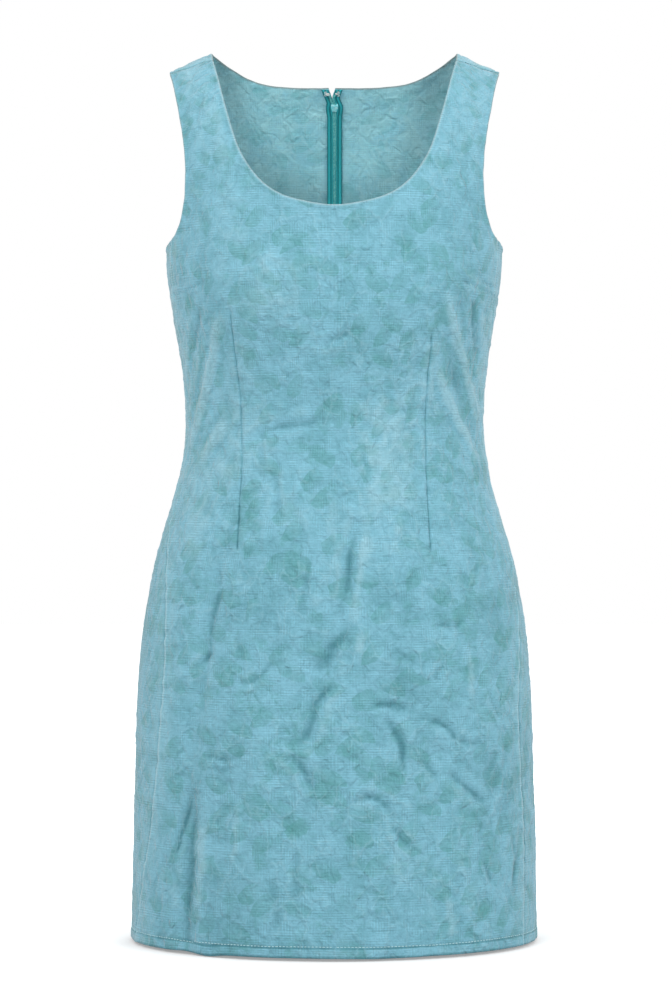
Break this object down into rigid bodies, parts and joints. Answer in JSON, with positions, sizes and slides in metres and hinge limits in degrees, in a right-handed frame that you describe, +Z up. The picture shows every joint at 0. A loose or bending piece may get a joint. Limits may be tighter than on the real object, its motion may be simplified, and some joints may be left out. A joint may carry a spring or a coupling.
{
  "type": "shift dress",
  "caption": "Sleeveless shift dress in washed printed cotton, ending above the knee, hollow and filled out as worn, with a scoop neck, shaping darts and a centre-back zip.",
  "frame": {"origin": "midway between the tops of the two straps, at the height of their highest points, where the wearer's shoulders carry the dress", "axes": "+Z up along the centre line, the front towards -Y, the dress's width along X"},
  "size_m": [0.3841, 0.2695, 0.8386],
  "materials": {
    "washed_cotton": "matt, slub plain weave, light blue with a faded tone-on-tone print",
    "zip_tape": "matt, close twill, teal",
    "zip_coil": "satin",
    "slider_paint": "satin enamel, pale turquoise",
    "plated_steel": "nickel-plated wire"
  },
  "bodies": {
    "dress": {"front_panel": "washed_cotton", "back_panel_left": "washed_cotton", "back_panel_right": "washed_cotton", "zip_tape_left": "zip_tape", "zip_tape_right": "zip_tape", "zip_coil": "zip_coil", "zip_slider": "slider_paint", "neck_hook": "plated_steel", "neck_eye": "plated_steel"},
    "pull_tab": {"zip_pull_tab": "slider_paint"}
  },
  "joints": [
    {"name": "pull_tab_hinge", "type": "hinge", "parent": "dress", "child": "pull_tab", "pos_m": [0, 0.06245, -0.04102], "axis": [1, 0, 0], "range_deg": [0, 170]}
  ]
}
